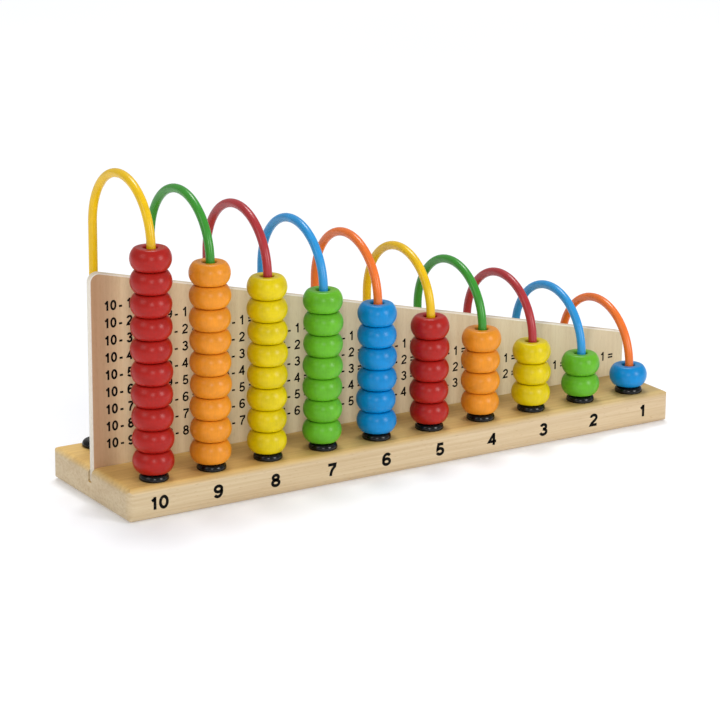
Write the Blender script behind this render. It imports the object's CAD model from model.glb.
import math
import random

import bpy
from mathutils import Matrix, Vector


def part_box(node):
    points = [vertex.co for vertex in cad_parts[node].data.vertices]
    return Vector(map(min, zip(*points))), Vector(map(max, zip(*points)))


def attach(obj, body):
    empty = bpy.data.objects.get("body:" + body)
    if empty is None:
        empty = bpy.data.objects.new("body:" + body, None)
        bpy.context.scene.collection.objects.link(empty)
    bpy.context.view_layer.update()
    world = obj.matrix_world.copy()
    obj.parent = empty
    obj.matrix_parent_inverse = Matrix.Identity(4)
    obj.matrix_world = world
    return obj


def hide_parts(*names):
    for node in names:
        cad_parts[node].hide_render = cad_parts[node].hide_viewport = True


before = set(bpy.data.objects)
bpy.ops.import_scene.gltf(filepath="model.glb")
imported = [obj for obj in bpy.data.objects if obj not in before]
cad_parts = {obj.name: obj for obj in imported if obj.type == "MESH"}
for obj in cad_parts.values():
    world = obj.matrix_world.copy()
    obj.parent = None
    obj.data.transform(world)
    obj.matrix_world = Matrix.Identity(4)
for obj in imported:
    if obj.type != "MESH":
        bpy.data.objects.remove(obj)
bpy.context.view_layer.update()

# ---------------------------------------------------------------- sizes, in metres

MM = 0.001
COLUMNS = range(1, 11)
BODY = "stand"
SEED = 11

# A bead's outline: a round side, a shoulder and a rounded mouth to its hole
BEAD_HOLE_R = 4.25 * MM
BEAD_MOUTH_R = 1.2 * MM
BEAD_SIDE_R = 9 * MM
BEAD_SHOULDER_R = 2.4 * MM
# How far beads differ: shares of the full radius, shift on the wire, and tilt. The beads of
# the two tallest stacks are the widest.
BEAD_SHARES = (0.955, 0.990)
TALL_BEAD_SHARES = (0.990, 1.0)
TALL_COLUMNS = (9, 10)
BEAD_SHIFT = 0.35 * MM
BEAD_TILT = math.radians(0.35)

# A bushing's collar: a domed shoulder on a rounded foot, and a small lip round the wire. Only
# the top of its sleeve is drawn, because the base hides the rest.
SHOULDER_R = 3.2 * MM
FOOT_R = 0.8 * MM
LIP_R = 0.35 * MM
WIRE_GAP = 0.12 * MM
SLEEVE_DEPTH = 1.5 * MM
SLEEVE_WALL = 2 * MM

# Segments of the round meshes, and steps along the wires
BEAD_SEGMENTS = 80
BUSHING_SEGMENTS = 64
WIRE_SIDES = 32
WIRE_LEG_STEPS = 24
WIRE_ARCH_STEPS = 64

# The board's round top corners and soft edge, how near its ends the corners are looked for,
# and how far the redder wood reaches from its tall end
BOARD_CORNER_R = 6 * MM
BOARD_EASE = 1.1 * MM
BOARD_END_REACH = 0.05 * MM
WARM_END = 130 * MM

# Print: heights of the numerals, how they are spread and shifted against the wires, and how
# much the digits other than 1 are widened. The middle of the lowest row is LAST_ROW_Z above
# the base. The ink stands a little proud and reaches into the wood.
BASE_NUMERAL_H = 8.0 * MM
BASE_NUMERAL_SPREAD = 1.016
BASE_NUMERAL_WIDE = 1.24
BASE_NUMERAL_SHIFT = -0.6 * MM
BOARD_NUMERAL_H = 6.1 * MM
BOARD_NUMERAL_SPREAD = 1.010
BOARD_NUMERAL_WIDE = 1.08
BOARD_NUMERAL_SHIFT = 1.1 * MM
ROW_PITCH = 10.75 * MM
LAST_ROW_Z = 14.1 * MM
INK_PROUD = 0.01 * MM
INK_ROOT = 0.1 * MM

base_low, base_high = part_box("base")
board_low, board_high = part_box("number_board")
bushing_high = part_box("bushings")[1]
base_top = base_high.z


def column_x(column):
    """Where a column's wire stands along the base, read from its CAD node."""
    low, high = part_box(f"wire_{column}")
    return (low.x + high.x) / 2


def wire_sizes(column):
    """A wire's radius, its legs' distance from the middle, and its arch's and its ends' heights."""
    low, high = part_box(f"wire_{column}")
    radius = (high.x - low.x) / 2
    leg_y = high.y - radius
    return radius, leg_y, high.z - radius - leg_y, low.z


# ---------------------------------------------------------------- mesh helpers


def arc(centre, radii, start, end, steps):
    """Points along an elliptical arc, with the angles in degrees."""
    turns = [math.radians(start + (end - start) * i / steps) for i in range(steps + 1)]
    return [(centre[0] + radii[0] * math.cos(t), centre[1] + radii[1] * math.sin(t)) for t in turns]


def round_arc(centre, radius, start, end, steps):
    """Points along an arc of a circle, with the angles in degrees."""
    return arc(centre, (radius, radius), start, end, steps)


def skin(rings, count, closed=False):
    """Quads from each ring of points to the next, and from the last ring to the first if closed."""
    faces = []
    for i in range(rings if closed else rings - 1):
        here = i * count
        there = (i + 1) % rings * count
        for j in range(count):
            k = (j + 1) % count
            faces.append((here + j, there + j, there + k, here + k))
    return faces


def caps(rings, count):
    """The faces that close the first and the last ring of an open skin."""
    last = (rings - 1) * count
    return [tuple(range(count)), tuple(reversed(range(last, last + count)))]


def add_piece(name, vertices, faces, material, smooth=True):
    """A mesh object at the origin, whose place is in its vertices."""
    mesh = bpy.data.meshes.new(name)
    mesh.from_pydata(vertices, [], faces)
    mesh.materials.append(material)
    mesh.polygons.foreach_set("use_smooth", [smooth] * len(faces))
    mesh.update()
    piece = bpy.data.objects.new(name, mesh)
    bpy.context.scene.collection.objects.link(piece)
    return piece


def flatten_caps(piece):
    """Shades the last two faces of a piece flat: the caps of its skin."""
    for polygon in piece.data.polygons[-2:]:
        polygon.use_smooth = False


def store_vectors(piece, name, values):
    """Keeps a vector for each vertex, which a material reads in place of object coordinates."""
    attribute = piece.data.attributes.new(name, "FLOAT_VECTOR", "POINT")
    attribute.data.foreach_set("vector", [x for value in values for x in value])


def revolve(outline, segments):
    """Vertices and faces of a closed (radius, height) outline turned about the vertical axis."""
    vertices = []
    for i in range(segments):
        turn = 2 * math.pi * i / segments
        vertices += [(r * math.cos(turn), r * math.sin(turn), z) for r, z in outline]
    return vertices, skin(segments, len(outline), closed=True)


def sweep(path, radius, sides):
    """A round tube with closed ends along a path in a plane of constant X."""
    vertices = []
    across = Vector((1, 0, 0))
    for i, point in enumerate(path):
        ahead = (path[min(i + 1, len(path) - 1)] - path[max(i - 1, 0)]).normalized()
        out = across.cross(ahead)
        for j in range(sides):
            turn = 2 * math.pi * j / sides
            vertices.append(point + radius * (math.cos(turn) * across + math.sin(turn) * out))
    return vertices, skin(len(path), sides) + caps(len(path), sides)


# ---------------------------------------------------------------- material helpers


class Shade:
    """A new material and short calls that add and join its nodes."""

    def __init__(self, name, roughness, specular):
        self.material = bpy.data.materials.new(name)
        self.material.use_nodes = True
        self.tree = self.material.node_tree
        self.shader = self.tree.nodes["Principled BSDF"]
        self.shader.inputs["Roughness"].default_value = roughness
        self.shader.inputs["Specular IOR Level"].default_value = specular

    def node(self, kind, settings=None, **inputs):
        """A new node, with its inputs joined to other nodes or set to values."""
        made = self.tree.nodes.new(kind)
        for key, value in (settings or {}).items():
            setattr(made, key, value)
        for key, value in inputs.items():
            socket = made.inputs[key.replace("_", " ")]
            if isinstance(value, bpy.types.NodeSocket):
                self.tree.links.new(value, socket)
            else:
                socket.default_value = value
        return made

    def place(self, attribute=None):
        """Where a point is: in the object's frame, or in the piece's own stored vectors."""
        if attribute is None:
            return self.node("ShaderNodeTexCoord").outputs["Object"]
        return self.node("ShaderNodeAttribute", {"attribute_name": attribute}).outputs["Vector"]

    def stretch(self, place, scale):
        """A place in texture units, so many to the metre along each axis."""
        return self.node("ShaderNodeMapping", Vector=place, Scale=scale).outputs["Vector"]

    def noise(self, place, detail, roughness=0.55, distortion=0.0):
        """Cloudy noise from 0 to 1, whose lumps are about a texture unit wide."""
        made = self.node("ShaderNodeTexNoise", Vector=place, Scale=1.0, Detail=detail,
                         Roughness=roughness, Distortion=distortion)
        return made.outputs["Fac"]

    def ramp(self, value, *stops):
        """A colour ramp through (position, colour) stops."""
        made = self.node("ShaderNodeValToRGB", Fac=value)
        elements = made.color_ramp.elements
        while len(elements) < len(stops):
            elements.new(0.5)
        for element, (position, colour) in zip(elements, stops):
            element.position = position
            element.color = (*colour, 1)
        return made.outputs["Color"]

    def mix(self, amount, a, b, blend="MIX"):
        """Two colours mixed or blended by an amount."""
        made = self.node("ShaderNodeMix", {"data_type": "RGBA", "blend_type": blend})
        for socket, value in zip((made.inputs[0], made.inputs[6], made.inputs[7]), (amount, a, b)):
            if isinstance(value, bpy.types.NodeSocket):
                self.tree.links.new(value, socket)
            else:
                socket.default_value = value if isinstance(value, float) else (*value, 1)
        return made.outputs[2]

    def maths(self, operation, a, b):
        """Two values added or multiplied."""
        made = self.node("ShaderNodeMath", {"operation": operation})
        for socket, value in zip(made.inputs, (a, b)):
            if isinstance(value, bpy.types.NodeSocket):
                self.tree.links.new(value, socket)
            else:
                socket.default_value = value
        return made.outputs[0]

    def upward(self):
        """1 on faces that look up, 0 on the others, and a soft change between."""
        normal = self.node("ShaderNodeNewGeometry").outputs["Normal"]
        height = self.node("ShaderNodeSeparateXYZ", Vector=normal).outputs["Z"]
        made = self.node("ShaderNodeMapRange", Value=height, From_Min=0.25, From_Max=0.95)
        return made.outputs["Result"]

    def along(self, place, start, end):
        """0 to 1 between two places on the X axis."""
        x = self.node("ShaderNodeSeparateXYZ", Vector=place).outputs["X"]
        made = self.node("ShaderNodeMapRange", Value=x, From_Min=start, From_Max=end)
        return made.outputs["Result"]

    def spread(self, value, low, high):
        """Maps 0 to 1 onto low to high."""
        made = self.node("ShaderNodeMapRange", Value=value, To_Min=low, To_Max=high)
        return made.outputs["Result"]

    def set(self, name, value):
        """Joins a value to an input of the shader."""
        self.tree.links.new(value, self.shader.inputs[name])

    def bump(self, height, depth):
        """Relief of a real depth, where height goes from 0 to 1."""
        made = self.node("ShaderNodeBump", Height=height, Distance=depth)
        self.set("Normal", made.outputs["Normal"])


def scaled(colour, factor):
    """A colour made lighter or darker."""
    return tuple(min(1.0, c * factor) for c in colour)


# ---------------------------------------------------------------- materials

# Colours of the lacquer on the beads and of the coating on the wires
PAINTS = {
    "red": (0.395, 0.011, 0.007),
    "orange": (0.760, 0.270, 0.016),
    "yellow": (0.675, 0.530, 0.0),
    "green": (0.120, 0.430, 0.018),
    "blue": (0.0, 0.230, 0.580),
}
COATINGS = {
    "red": (0.400, 0.026, 0.032),
    "orange": (0.830, 0.170, 0.020),
    "yellow": (0.800, 0.500, 0.0),
    "green": (0.035, 0.280, 0.022),
    "blue": (0.020, 0.290, 0.660),
}
# The order of the colours from the single bead on, twice over
BEAD_ORDER = ("blue", "green", "yellow", "orange", "red")
WIRE_ORDER = ("orange", "blue", "red", "green", "yellow")


def column_paint(column, order):
    """The name of a column's colour."""
    return order[(column - 1) % len(order)]


def bead_lacquer(paint):
    """Satin lacquer on turned wood: faint grain and turning marks show through it."""
    colour = PAINTS[paint]
    shade = Shade(f"bead_{paint}", roughness=0.30, specular=0.26)
    place = shade.place("turned")
    cloud = shade.noise(shade.stretch(place, (90, 90, 140)), detail=2)
    fibre = shade.noise(shade.stretch(place, (1100, 1100, 110)), detail=4)
    rings = shade.noise(shade.stretch(place, (60, 60, 2600)), detail=2)
    tone = shade.ramp(cloud, (0.30, scaled(colour, 0.90)), (0.70, scaled(colour, 1.08)))
    grain = shade.ramp(fibre, (0.30, (0.84, 0.84, 0.84)), (0.65, (1.0, 1.0, 1.0)))
    shade.set("Base Color", shade.mix(0.6, tone, grain, "MULTIPLY"))
    shade.set("Roughness", shade.spread(cloud, 0.25, 0.35))
    relief = shade.maths("ADD", shade.maths("MULTIPLY", rings, 0.6), fibre)
    shade.bump(relief, 0.02 * MM)
    return shade.material


def wire_coating(paint):
    """Glossy coating on steel wire, with a slightly uneven skin."""
    colour = COATINGS[paint]
    shade = Shade(f"wire_{paint}", roughness=0.26, specular=0.45)
    place = shade.place()
    cloud = shade.noise(shade.stretch(place, (140, 140, 90)), detail=2)
    ripple = shade.noise(shade.stretch(place, (320, 320, 160)), detail=2)
    tone = shade.ramp(cloud, (0.3, scaled(colour, 0.94)), (0.7, scaled(colour, 1.05)))
    shade.set("Base Color", tone)
    shade.set("Roughness", shade.spread(ripple, 0.22, 0.30))
    shade.bump(ripple, 0.01 * MM)
    return shade.material


def beech():
    """Lacquered beech: pale straight grain on the sides, and a warmer top, deeper to the right."""
    shade = Shade("base_beech", roughness=0.42, specular=0.35)
    place = shade.place()
    broad = shade.noise(shade.stretch(place, (3.0, 26, 60)), detail=3, distortion=0.4)
    streak = shade.noise(shade.stretch(place, (9, 380, 620)), detail=4, roughness=0.6)
    fibre = shade.noise(shade.stretch(place, (60, 1500, 2400)), detail=3)
    fleck = shade.noise(shade.stretch(place, (260, 1700, 1500)), detail=1)
    side = shade.ramp(broad, (0.28, (0.590, 0.450, 0.270)), (0.50, (0.660, 0.530, 0.335)),
                      (0.74, (0.690, 0.570, 0.380)))
    top = shade.ramp(broad, (0.28, (0.760, 0.490, 0.150)), (0.50, (0.830, 0.560, 0.190)),
                     (0.74, (0.860, 0.610, 0.230)))
    reach = shade.along(place, base_low.x, base_high.x)
    side_tone = shade.ramp(reach, (0.0, (1, 1, 1)), (1.0, (0.96, 0.91, 0.88)))
    top_tone = shade.ramp(reach, (0.0, (1, 1, 1)), (0.5, (0.80, 0.82, 0.86)),
                          (1.0, (0.68, 0.71, 0.80)))
    side = shade.mix(1.0, side, side_tone, "MULTIPLY")
    top = shade.mix(1.0, top, top_tone, "MULTIPLY")
    tone = shade.mix(shade.upward(), side, top)
    lines = shade.ramp(streak, (0.30, (0.80, 0.73, 0.64)), (0.60, (1.0, 1.0, 1.0)))
    wood = shade.mix(0.8, tone, lines, "MULTIPLY")
    threads = shade.ramp(fibre, (0.3, (0.84, 0.80, 0.74)), (0.7, (1, 1, 1)))
    wood = shade.mix(0.35, wood, threads, "MULTIPLY")
    dark = shade.ramp(fleck, (0.66, (1, 1, 1)), (0.74, (0.74, 0.62, 0.50)))
    shade.set("Base Color", shade.mix(0.5, wood, dark, "MULTIPLY"))
    shade.set("Roughness", shade.spread(streak, 0.38, 0.52))
    relief = shade.maths("ADD", streak, shade.maths("MULTIPLY", fibre, 0.5))
    shade.bump(relief, 0.06 * MM)
    return shade.material


def end_tone(shade, place):
    """The wood turns redder towards the board's tall end, and darker in a band along it."""
    reach = shade.along(place, board_low.x, board_low.x + WARM_END)
    return shade.ramp(reach, (0.03, (0.80, 0.58, 0.46)), (0.18, (0.98, 0.90, 0.78)),
                      (1.0, (1.0, 1.0, 0.94)))


def plywood_face():
    """Thin light plywood: upright bands of pinkish and cream wood with fine fibres."""
    shade = Shade("board_face", roughness=0.5, specular=0.3)
    place = shade.place()
    band = shade.noise(shade.stretch(place, (34, 30, 1.6)), detail=2, distortion=0.3)
    streak = shade.noise(shade.stretch(place, (520, 300, 12)), detail=4, roughness=0.6)
    fleck = shade.noise(shade.stretch(place, (1700, 900, 240)), detail=2)
    tone = shade.ramp(band, (0.30, (0.680, 0.560, 0.390)), (0.52, (0.750, 0.650, 0.470)),
                      (0.72, (0.790, 0.710, 0.540)))
    lines = shade.ramp(streak, (0.30, (0.88, 0.85, 0.81)), (0.65, (1.0, 1.0, 1.0)))
    wood = shade.mix(0.6, tone, lines, "MULTIPLY")
    specks = shade.ramp(fleck, (0.28, (0.84, 0.79, 0.72)), (0.46, (1, 1, 1)))
    wood = shade.mix(0.5, wood, specks, "MULTIPLY")
    shade.set("Base Color", shade.mix(1.0, wood, end_tone(shade, place), "MULTIPLY"))
    shade.set("Roughness", shade.spread(streak, 0.44, 0.58))
    shade.bump(streak, 0.04 * MM)
    return shade.material


def plywood_edge():
    """The board's pale sanded edge, with its plies just showing and its top handled darker."""
    shade = Shade("board_edge", roughness=0.55, specular=0.3)
    place = shade.place()
    plies = shade.node("ShaderNodeTexWave", {"wave_type": "BANDS", "bands_direction": "Y"},
                       Vector=place, Scale=230.0, Distortion=0.6, Detail=1.0)
    fibre = shade.noise(shade.stretch(place, (420, 1600, 420)), detail=3)
    cream = shade.ramp(plies.outputs["Fac"], (0.10, (0.80, 0.73, 0.60)), (0.55, (0.88, 0.84, 0.75)))
    worn = shade.ramp(plies.outputs["Fac"], (0.10, (0.56, 0.48, 0.35)), (0.55, (0.66, 0.58, 0.44)))
    tone = shade.mix(shade.upward(), cream, worn)
    fine = shade.ramp(fibre, (0.3, (0.88, 0.85, 0.80)), (0.6, (1, 1, 1)))
    shade.set("Base Color", shade.mix(0.5, tone, fine, "MULTIPLY"))
    shade.bump(fibre, 0.05 * MM)
    return shade.material


def black_plastic():
    """Moulded black plastic with a soft gloss."""
    shade = Shade("bushing_plastic", roughness=0.2, specular=0.3)
    place = shade.place()
    ripple = shade.noise(shade.stretch(place, (260, 260, 260)), detail=2)
    tone = shade.ramp(ripple, (0.3, (0.002, 0.002, 0.002)), (0.7, (0.005, 0.005, 0.005)))
    shade.set("Base Color", tone)
    shade.set("Roughness", shade.spread(ripple, 0.14, 0.24))
    shade.bump(ripple, 0.03 * MM)
    return shade.material


def ink():
    """Black printing ink, a little thin in places."""
    shade = Shade("print_ink", roughness=0.8, specular=0.08)
    thin = shade.noise(shade.stretch(shade.place(), (1600, 1600, 1600)), detail=3)
    tone = shade.ramp(thin, (0.35, (0.002, 0.002, 0.002)), (0.8, (0.010, 0.009, 0.008)))
    shade.set("Base Color", tone)
    shade.set("Roughness", shade.spread(thin, 0.7, 0.9))
    return shade.material


# ---------------------------------------------------------------- pieces


def bead_outline(radius, height):
    """The closed outline of a bead, as (distance from its axis, height above its middle)."""
    side_x = radius - BEAD_SIDE_R
    shoulder_z = height / 2 - BEAD_SHOULDER_R
    reach = BEAD_SIDE_R - BEAD_SHOULDER_R
    join = math.degrees(math.asin(shoulder_z / reach))
    shoulder_x = side_x + reach * math.cos(math.radians(join))
    mouth_x = BEAD_HOLE_R + BEAD_MOUTH_R
    mouth_z = height / 2 - BEAD_MOUTH_R
    top = round_arc((side_x, 0), BEAD_SIDE_R, 0, join, steps=10)
    top += round_arc((shoulder_x, shoulder_z), BEAD_SHOULDER_R, join, 90, steps=10)[1:]
    top += round_arc((mouth_x, mouth_z), BEAD_MOUTH_R, 90, 180, steps=6)
    bottom = [(x, -z) for x, z in reversed(top[1:])]
    return top + bottom


def add_bead(name, node, centre, size, column, material, chance):
    """One bead, shifted and tilted as a loose hole lets it lie. A freedom of 0 keeps it square."""
    radius, height, freedom = size
    shares = TALL_BEAD_SHARES if column in TALL_COLUMNS else BEAD_SHARES
    radius *= chance.uniform(*shares)
    vertices, faces = revolve(bead_outline(radius, height), BEAD_SEGMENTS)
    spin = Matrix.Rotation(chance.uniform(0, 2 * math.pi), 4, "Z")
    tilt = Matrix.Rotation(BEAD_TILT * freedom, 4, (chance.uniform(-1, 1), chance.uniform(-1, 1), 0))
    shift = Vector((chance.uniform(-1, 1), chance.uniform(-1, 1), 0)) * BEAD_SHIFT * freedom
    seat = Matrix.Translation(centre + shift) @ tilt
    piece = add_piece(name, [seat @ Vector(v) for v in vertices], faces, material)
    offset = Vector((chance.uniform(-1, 1), chance.uniform(-1, 1), chance.uniform(-1, 1)))
    store_vectors(piece, "turned", [spin @ Vector(v) + offset for v in vertices])
    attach(piece, node)
    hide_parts(node)


def add_column_beads(column, material, chance):
    """Every bead of a stack, in the place of its CAD node and on the body of the same name.

    The two lowest beads of a tall stack share a node.
    """
    top = f"top_bead_{column}"
    pair = f"bead_pair_{column}"
    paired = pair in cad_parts
    low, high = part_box(top)
    radius = (high.x - low.x) / 2
    height = high.z - low.z
    add_bead(f"{top}_turned", top, (low + high) / 2, (radius, height, 0.0), column, material, chance)
    size = (radius, height, 1.0)
    for place in range(3 if paired else 1, column):
        node = f"bead_{column}_{place}"
        low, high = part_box(node)
        add_bead(f"{node}_turned", node, (low + high) / 2, size, column, material, chance)
    if paired:
        low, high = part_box(pair)
        for place, z in ((1, low.z + height / 2), (2, high.z - height / 2)):
            centre = Vector(((low.x + high.x) / 2, (low.y + high.y) / 2, z))
            name = f"bead_{column}_{place}_turned"
            add_bead(name, pair, centre, size, column, material, chance)


def add_wire(column, material):
    """One arched wire, with its straight ends down inside the base."""
    x = column_x(column)
    radius, leg_y, arch_z, foot_z = wire_sizes(column)
    rise = (arch_z - foot_z) / WIRE_LEG_STEPS
    front = [Vector((x, -leg_y, foot_z + rise * i)) for i in range(WIRE_LEG_STEPS)]
    back = [Vector((x, -p.y, p.z)) for p in reversed(front)]
    arch = round_arc((0, arch_z), leg_y, 180, 0, WIRE_ARCH_STEPS)
    over = [Vector((x, y, z)) for y, z in arch]
    vertices, faces = sweep(front + over + back, radius, WIRE_SIDES)
    piece = add_piece(f"wire_{column}_coated", vertices, faces, material)
    flatten_caps(piece)
    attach(piece, BODY)
    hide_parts(f"wire_{column}")


def bushing_outline(radius, height, wire_r):
    """The closed outline of a collar and the top of its sleeve, from the top of the base."""
    bore = wire_r + WIRE_GAP
    sleeve = bore + SLEEVE_WALL
    outline = [(bore, -SLEEVE_DEPTH), (sleeve, -SLEEVE_DEPTH), (sleeve, 0)]
    outline += round_arc((radius - FOOT_R, FOOT_R), FOOT_R, -90, 0, steps=6)
    outline += round_arc((radius - SHOULDER_R, height - SHOULDER_R), SHOULDER_R, 0, 90, steps=12)
    outline += round_arc((bore + LIP_R, height - LIP_R), LIP_R, 90, 180, steps=4)
    return outline


def add_bushing(column, side, material):
    """The bushing of a column's front or rear leg."""
    wire_r, leg_y, _, _ = wire_sizes(column)
    radius = bushing_high.y - leg_y
    outline = bushing_outline(radius, bushing_high.z - base_top, wire_r)
    vertices, faces = revolve(outline, BUSHING_SEGMENTS)
    place = Vector((column_x(column), leg_y if side == "rear" else -leg_y, base_top))
    vertices = [place + Vector(v) for v in vertices]
    piece = add_piece(f"bushing_{side}_{column}", vertices, faces, material)
    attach(piece, BODY)
    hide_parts("bushings")


# ---------------------------------------------------------------- numerals

# Each character is drawn by strokes in a box one unit tall, and a stroke is given by its
# middle line. First come the three weights of print, the widths of characters, and the extra
# gaps beside the signs.
LIGHT = 0.18
BOLD = 0.215
HEAVY = 0.245
DIGIT_WIDTH = 0.74
WIDTHS = {"1": 0.70, "-": 0.465, "=": 0.816}
GAP_BEFORE = {"-": 0.20, "=": 0.30}
GAP_AFTER = {"-": 0.36}
# The shared middle, top and bottom lines of the digits, and the steps along a full curve
MIDDLE = 0.385
TOP = 1 - LIGHT / 2
BOTTOM = LIGHT / 2
CURVE = 20
STROKES = {
    "0": [arc((MIDDLE, 0.5), (0.235, 0.42), 0, 360, 2 * CURVE)],
    "1": [[(0.43, 0), (0.43, 1)], [(0.43, 0.90), (0.33, 0.79), (0.17, 0.70)]],
    "2": [arc((MIDDLE, 0.695), (0.225, 0.222), 172, -28, CURVE)
          + [(0.50, 0.47), (0.26, 0.26), (0.17, BOTTOM), (0.65, BOTTOM)]],
    "3": [arc((0.375, 0.725), (0.200, 0.192), 165, -75, CURVE) + [(0.32, 0.535)],
          [(0.32, 0.535)] + arc((0.370, 0.298), (0.235, 0.218), 75, -168, CURVE)],
    "4": [[(0.50, 0), (0.50, 1)], [(0.50, 0.93), (0.13, 0.305), (0.68, 0.305)]],
    "5": [[(0.63, TOP), (0.26, TOP), (0.195, 0.49)]
          + arc((0.375, 0.320), (0.235, 0.238), 140, -160, CURVE)],
    "6": [arc((MIDDLE, 0.315), (0.235, 0.232), 0, 360, CURVE),
          arc((0.425, 0.50), (0.275, 0.42), 42, 205, CURVE)],
    "7": [[(0.12, TOP), (0.63, TOP)] + arc((0.93, 0.0), (0.62, 0.86), 122, 180, CURVE // 2)],
    "8": [arc((MIDDLE, 0.730), (0.195, 0.188), 0, 360, CURVE),
          arc((MIDDLE, 0.295), (0.235, 0.215), 0, 360, CURVE)],
    "9": [arc((MIDDLE, 0.685), (0.235, 0.232), 0, 360, CURVE),
          arc((0.345, 0.50), (0.275, 0.42), -138, 25, CURVE)],
    "-": [[(0.05, 0.31), (0.41, 0.31)]],
    "=": [[(0.10, 0.29), (0.71, 0.29)], [(0.10, 0.59), (0.71, 0.59)]],
}
# The two ends of a line are one point if they lie closer than SAME_POINT. A stroke keeps its
# weight round a bend, unless the cosine of half the bend's angle is under SHARPEST.
SAME_POINT = 1e-6
SHARPEST = 0.5


def advance(character, wide):
    """How far a character moves the pen, with the digits other than 1 widened."""
    return WIDTHS.get(character, DIGIT_WIDTH * wide) + GAP_AFTER.get(character, 0)


def text_width(text, wide):
    """The width of a row of print, in letter heights."""
    return sum(advance(c, wide) + GAP_BEFORE.get(c, 0) for c in text)


def stroke_edges(line, closed, weight):
    """Points on the two edges of a stroke, half its weight to each side of its middle line."""
    edges = []
    last = len(line) - 1
    for i, point in enumerate(line):
        before = line[i - 1] if i > 0 else (line[last - 1] if closed else line[0])
        after = line[i + 1] if i < last else (line[1] if closed else line[last])
        a = (Vector(point) - Vector(before)).normalized()
        b = (Vector(after) - Vector(point)).normalized()
        along = (a + b).normalized()
        side = Vector((-along.y, along.x))
        flat = a if a.length else b
        reach = weight / 2 / max(SHARPEST, along.dot(flat))
        edges.append((Vector(point) + side * reach, Vector(point) - side * reach))
    return edges


def strip_faces(count, closed, first):
    """The sides of a strip of ink with four corners at each point, and its ends if it has any."""
    faces = []
    for i in range(count - 1):
        a = first + 4 * i
        b = a + 4
        faces += [(a, a + 1, b + 1, b), (a + 2, b + 2, b + 3, a + 3),
                  (a, b, b + 2, a + 2), (a + 1, a + 3, b + 3, b + 1)]
    if not closed:
        end = first + 4 * (count - 1)
        faces += [(first, first + 2, first + 3, first + 1), (end, end + 1, end + 3, end + 2)]
    return faces


def character_strips(character, weight, wide):
    """The strips that draw a character in its box, as (edges, closed)."""
    spread = 1 if character in WIDTHS else wide
    strips = []
    for drawn in STROKES[character]:
        line = [(x * spread, z) for x, z in drawn]
        closed = (Vector(line[0]) - Vector(line[-1])).length < SAME_POINT
        strips.append((stroke_edges(line, closed, weight), closed))
    return strips


def add_print(name, rows, letter, face_y, material):
    """Rows of numerals as thin ink on a face that looks to the front. A row is (text, x, z)."""
    height, weight, wide = letter
    depths = (face_y - INK_PROUD, face_y + INK_ROOT)
    vertices, faces = [], []
    for text, centre_x, foot_z in rows:
        pen = centre_x - text_width(text, wide) * height / 2
        for character in text:
            pen += GAP_BEFORE.get(character, 0) * height
            for edges, closed in character_strips(character, weight, wide):
                faces += strip_faces(len(edges), closed, len(vertices))
                vertices += [(pen + point.x * height, y, foot_z + point.y * height)
                             for sides in edges for y in depths for point in sides]
            pen += advance(character, wide) * height
    piece = add_piece(name, vertices, faces, material, smooth=False)
    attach(piece, BODY)


def add_prints(material):
    """The column numbers on the base, and each column's subtractions on the board."""
    foot_z = (base_low.z + base_high.z) / 2 - BASE_NUMERAL_H / 2
    numerals = [(str(n), column_x(n) * BASE_NUMERAL_SPREAD + BASE_NUMERAL_SHIFT, foot_z)
                for n in COLUMNS]
    letter = (BASE_NUMERAL_H, HEAVY, BASE_NUMERAL_WIDE)
    add_print("base_numerals", numerals, letter, base_low.y, material)
    foot_z = base_top + LAST_ROW_Z - BOARD_NUMERAL_H / 2
    for n in COLUMNS:
        x = column_x(n) * BOARD_NUMERAL_SPREAD + BOARD_NUMERAL_SHIFT
        count = max(1, n - 1)
        rows = [(f"{n}-{k}=", x, foot_z + (count - k) * ROW_PITCH) for k in range(1, count + 1)]
        letter = (BOARD_NUMERAL_H, LIGHT, BOARD_NUMERAL_WIDE)
        if n == max(COLUMNS):
            letter = (BOARD_NUMERAL_H, BOLD, 1.0)
        add_print(f"board_sums_{n}", rows, letter, board_low.y, material)


# ---------------------------------------------------------------- board


def corner_heights():
    """Heights where the board's upright ends turn into its round corners, left and right."""
    points = [v.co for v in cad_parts["number_board"].data.vertices]
    left = max(p.z for p in points if p.x < board_low.x + BOARD_END_REACH)
    right = max(p.z for p in points if p.x > board_high.x - BOARD_END_REACH)
    return left, right


def board_outline(inset):
    """The board from the front: square at the bottom, with two round corners on a sloping top."""
    left_z, right_z = corner_heights()
    run = board_high.x - board_low.x - 2 * BOARD_CORNER_R
    square_on = 90 - math.degrees(math.atan((left_z - right_z) / run))
    radius = BOARD_CORNER_R - inset
    outline = [(board_low.x + inset, board_low.z + inset), (board_high.x - inset, board_low.z + inset)]
    outline += round_arc((board_high.x - BOARD_CORNER_R, right_z), radius, 0, square_on, steps=12)
    outline += round_arc((board_low.x + BOARD_CORNER_R, left_z), radius, square_on, 180, steps=12)
    return outline


def add_board(face, edge):
    """The number board, with soft edges all round and its faces as the two caps."""
    rounding = round_arc((0, 0), BOARD_EASE, 0, 90, steps=5)
    back = [(board_high.y - BOARD_EASE + dy, BOARD_EASE - dx) for dx, dy in reversed(rounding)]
    front = [(board_low.y + BOARD_EASE - dy, BOARD_EASE - dx) for dx, dy in rounding]
    rings = [[(x, y, z) for x, z in board_outline(inset)] for y, inset in back + front]
    vertices = [point for ring in rings for point in ring]
    count = len(rings[0])
    faces = skin(len(rings), count) + caps(len(rings), count)
    piece = add_piece("number_board_ply", vertices, faces, face)
    piece.data.materials.append(edge)
    for polygon in piece.data.polygons[:-2]:
        polygon.material_index = 1
    flatten_caps(piece)
    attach(piece, BODY)
    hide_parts("number_board")


# ---------------------------------------------------------------- camera, light and floor

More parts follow.
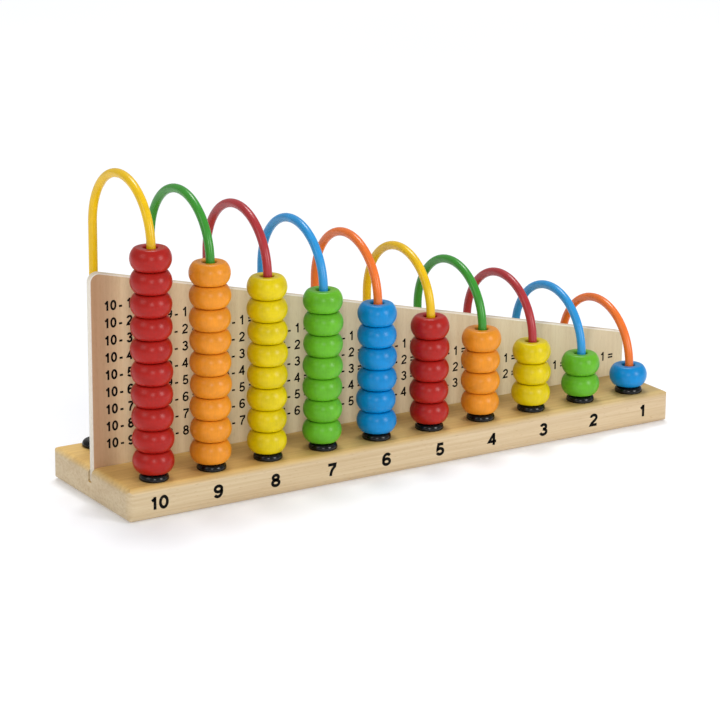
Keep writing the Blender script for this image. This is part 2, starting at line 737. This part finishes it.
CAMERA_AIM = Vector((2.0 * MM, 17.1 * MM, base_top + 33.5 * MM))
CAMERA_AZIMUTH = math.radians(-32.21)
CAMERA_ELEVATION = math.radians(16.31)
CAMERA_ROLL = math.radians(0.48)
CAMERA_DISTANCE = 1.8422
CAMERA_LENS = 143.7
CAMERA_CLIP = (0.1, 30)
FLOOR_HALF = 6.0
FLOOR_GLOW = 0.15
ROOM_LIGHT = 0.45
# Soft panel lights: azimuth and elevation in degrees, distance, (width, height) and radiance
LIGHTS = {
    "key": (24, 20, 1.6, (0.40, 0.60), 11),
    "fill": (-28, 20, 1.6, (0.30, 0.50), 8),
    "side": (-78, 32, 2.4, (1.0, 1.0), 2.2),
    "top": (150, 70, 6.0, (2.1, 2.1), 12.5),
}


def direction(azimuth, elevation):
    """A unit vector from the object towards a place round it."""
    return Vector((math.sin(azimuth) * math.cos(elevation),
                   -math.cos(azimuth) * math.cos(elevation), math.sin(elevation)))


def add_camera():
    """The camera, at the viewing angle of the front left."""
    data = bpy.data.cameras.new("camera")
    data.lens = CAMERA_LENS
    data.clip_start, data.clip_end = CAMERA_CLIP
    camera = bpy.data.objects.new("camera", data)
    back = direction(CAMERA_AZIMUTH, CAMERA_ELEVATION)
    turn = (-back).to_track_quat("-Z", "Y").to_matrix().to_4x4()
    roll = Matrix.Rotation(CAMERA_ROLL, 4, "Z")
    camera.matrix_world = Matrix.Translation(CAMERA_AIM + back * CAMERA_DISTANCE) @ turn @ roll
    bpy.context.scene.collection.objects.link(camera)
    bpy.context.scene.camera = camera


def add_softbox(name, azimuth, elevation, distance, size, radiance):
    """A plain white panel light that faces the object."""
    data = bpy.data.lights.new(name, "AREA")
    data.shape = "RECTANGLE"
    data.size, data.size_y = size
    data.energy = radiance * math.pi * size[0] * size[1]
    lamp = bpy.data.objects.new(name, data)
    back = direction(math.radians(azimuth), math.radians(elevation))
    lamp.rotation_mode = "QUATERNION"
    lamp.location = CAMERA_AIM + back * distance
    lamp.rotation_quaternion = (-back).to_track_quat("-Z", "Y")
    bpy.context.scene.collection.objects.link(lamp)


def add_floor():
    """A wide white table that glows a little, so that it stays pale round the object."""
    half = FLOOR_HALF
    shade = Shade("floor_white", roughness=0.8, specular=0.0)
    shade.shader.inputs["Emission Color"].default_value = (1, 1, 1, 1)
    shade.shader.inputs["Emission Strength"].default_value = FLOOR_GLOW
    cloud = shade.noise(shade.stretch(shade.place(), (3, 3, 3)), detail=2)
    tone = shade.ramp(cloud, (0.3, (0.85, 0.86, 0.89)), (0.7, (0.87, 0.88, 0.91)))
    shade.set("Base Color", tone)
    corners = [(-half, -half, 0), (half, -half, 0), (half, half, 0), (-half, half, 0)]
    floor = add_piece("floor", corners, [(0, 1, 2, 3)], shade.material, smooth=False)


def add_light():
    """An evenly lit white room with the soft panel lights in it."""
    world = bpy.data.worlds.new("studio")
    world.use_nodes = True
    background = world.node_tree.nodes["Background"]
    background.inputs["Color"].default_value = (1, 1, 1, 1)
    background.inputs["Strength"].default_value = ROOM_LIGHT
    bpy.context.scene.world = world
    for name, settings in LIGHTS.items():
        add_softbox(name, *settings)
    bpy.context.scene.view_settings.view_transform = "Standard"


# ---------------------------------------------------------------- making


add_camera()
add_light()
add_floor()

chance = random.Random(SEED)
bead_materials = {paint: bead_lacquer(paint) for paint in PAINTS}
wire_materials = {paint: wire_coating(paint) for paint in COATINGS}
plastic = black_plastic()

for n in COLUMNS:
    add_wire(n, wire_materials[column_paint(n, WIRE_ORDER)])
    add_column_beads(n, bead_materials[column_paint(n, BEAD_ORDER)], chance)
    for side in ("front", "rear"):
        add_bushing(n, side, plastic)

add_prints(ink())

add_board(plywood_face(), plywood_edge())

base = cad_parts["base"]
base.data.materials.clear()
base.data.materials.append(beech())
